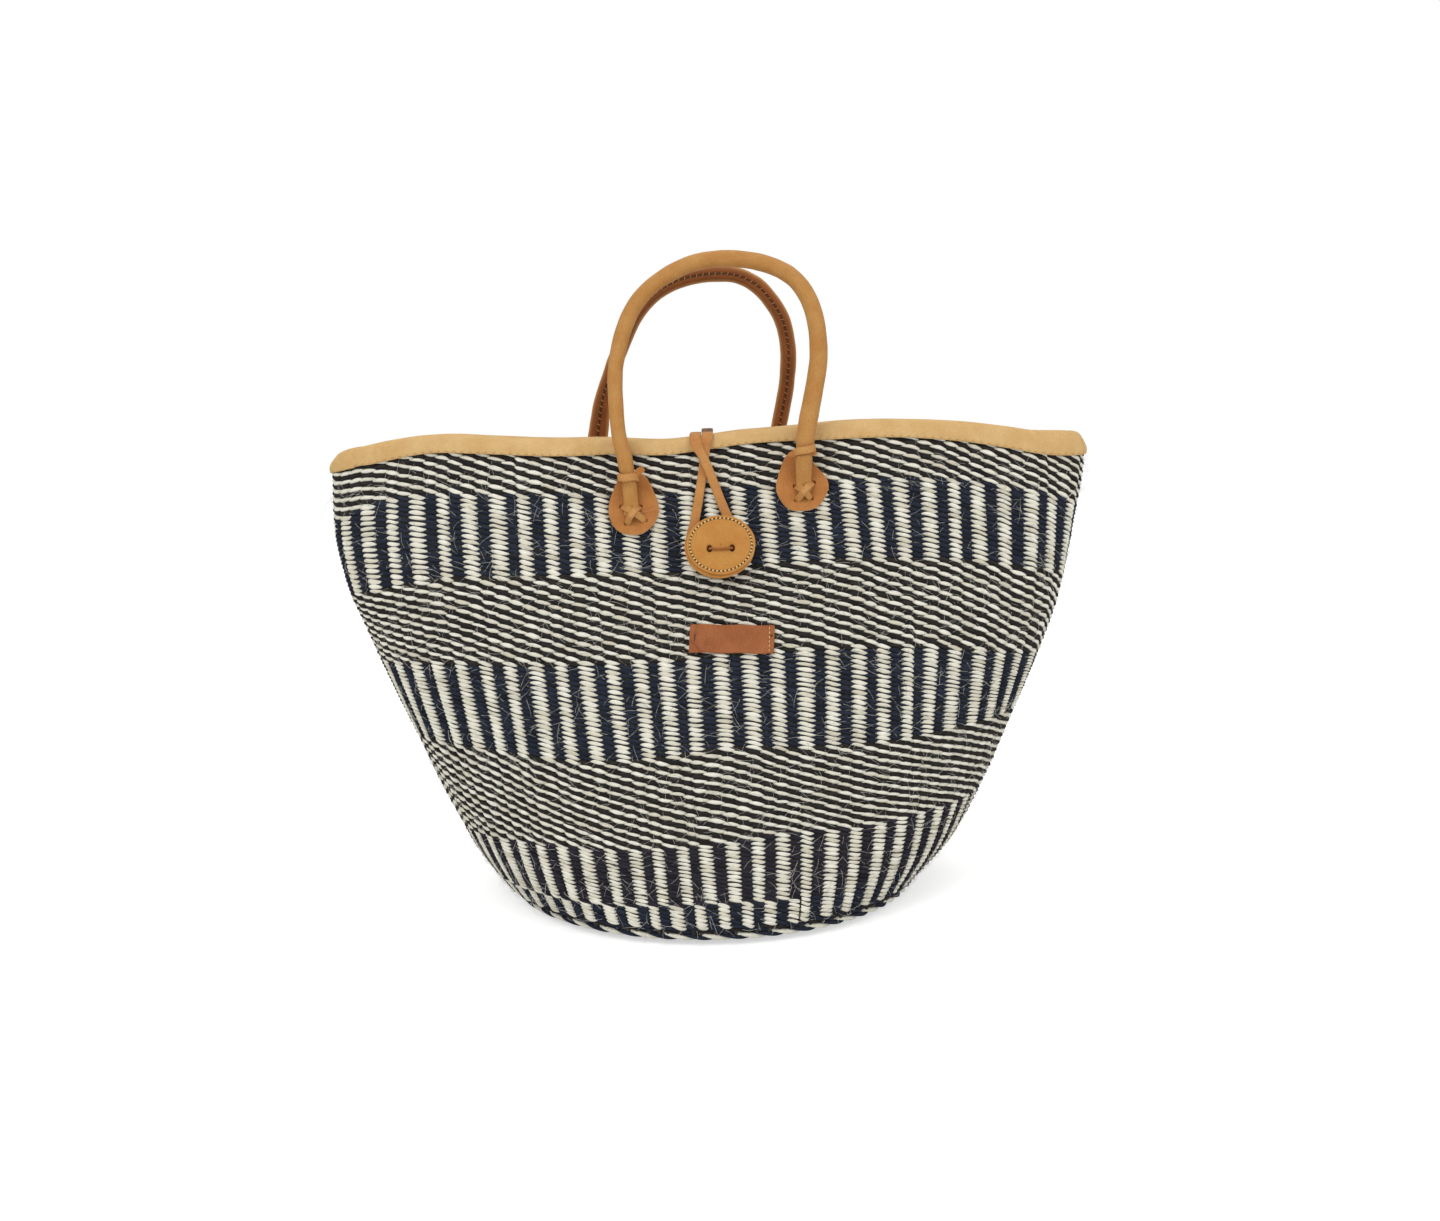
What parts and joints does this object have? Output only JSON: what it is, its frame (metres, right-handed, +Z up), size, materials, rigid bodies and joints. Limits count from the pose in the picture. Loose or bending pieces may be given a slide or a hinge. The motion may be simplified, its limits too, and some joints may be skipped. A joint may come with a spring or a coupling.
{
  "type": "woven basket bag",
  "caption": "Twined sisal basket bag with a flattened mouth, round base, rolled leather handles, leather rim binding and a button with a strap loop.",
  "frame": {"origin": "centre of the base, on the surface that the basket stands on", "axes": "+X to the right of the front wall along the long mouth, front wall and button face -Y, +Z up"},
  "size_m": [0.4856, 0.254, 0.4014],
  "materials": {
    "woven_sisal": "twined sisal, cream with navy and black-brown stripes",
    "pale_leather": "pale undyed hide, matt",
    "pale_thread": "waxed thread",
    "tan_leather": "tan hide, satin",
    "brown_leather": "red-brown hide, matt",
    "dark_leather": "dark lace",
    "light_thread": "cream thread",
    "dark_thread": "brown thread",
    "cord": "twisted cord"
  },
  "bodies": {
    "front_handle": {"front_handle_core": "cord", "front_handle_cover": "tan_leather", "front_handle_seam_thread": "light_thread"},
    "back_handle": {"back_handle_core": "cord", "back_handle_cover": "tan_leather", "back_handle_seam_thread": "light_thread"},
    "button": {"button_face": "tan_leather", "button_back": "tan_leather", "button_stitching": "light_thread"},
    "basket": {"back_left_backing": "brown_leather", "back_left_collar": "tan_leather", "back_left_handle_tongue": "tan_leather", "back_left_lacing": "tan_leather", "back_left_patch": "tan_leather", "back_right_backing": "brown_leather", "back_right_collar": "tan_leather", "back_right_handle_tongue": "tan_leather", "back_right_lacing": "tan_leather", "back_right_patch": "tan_leather", "button_thong": "dark_leather", "button_washer": "brown_leather", "closure_loop": "tan_leather", "closure_loop_tab": "tan_leather", "front_left_backing": "brown_leather", "front_left_collar": "tan_leather", "front_left_handle_tongue": "tan_leather", "front_left_lacing": "tan_leather", "front_left_patch": "tan_leather", "front_right_backing": "brown_leather", "front_right_collar": "tan_leather", "front_right_handle_tongue": "tan_leather", "front_right_lacing": "tan_leather", "front_right_patch": "tan_leather", "label": "brown_leather", "label_left_stitch": "dark_thread", "label_right_stitch": "dark_thread", "rim_binding": "pale_leather", "rim_stitching": "pale_thread", "woven_body": "woven_sisal"}
  },
  "joints": [
    {"name": "front_handle_swing", "type": "hinge", "parent": "basket", "child": "front_handle", "pos_m": [0.00594, -0.0502, 0.28054], "axis": [0.9942, 0, 0.108], "range_deg": [-2, 150]},
    {"name": "back_handle_swing", "type": "hinge", "parent": "basket", "child": "back_handle", "pos_m": [-0.01302, 0.0489, 0.28154], "axis": [-0.9991, 0, -0.0419], "range_deg": [-2, 150]},
    {"name": "button_tilt", "type": "hinge", "parent": "basket", "child": "button", "pos_m": [0.00781, -0.05769, 0.22553], "axis": [0.9997, -0.0229, 0], "range_deg": [-4, 16]}
  ]
}
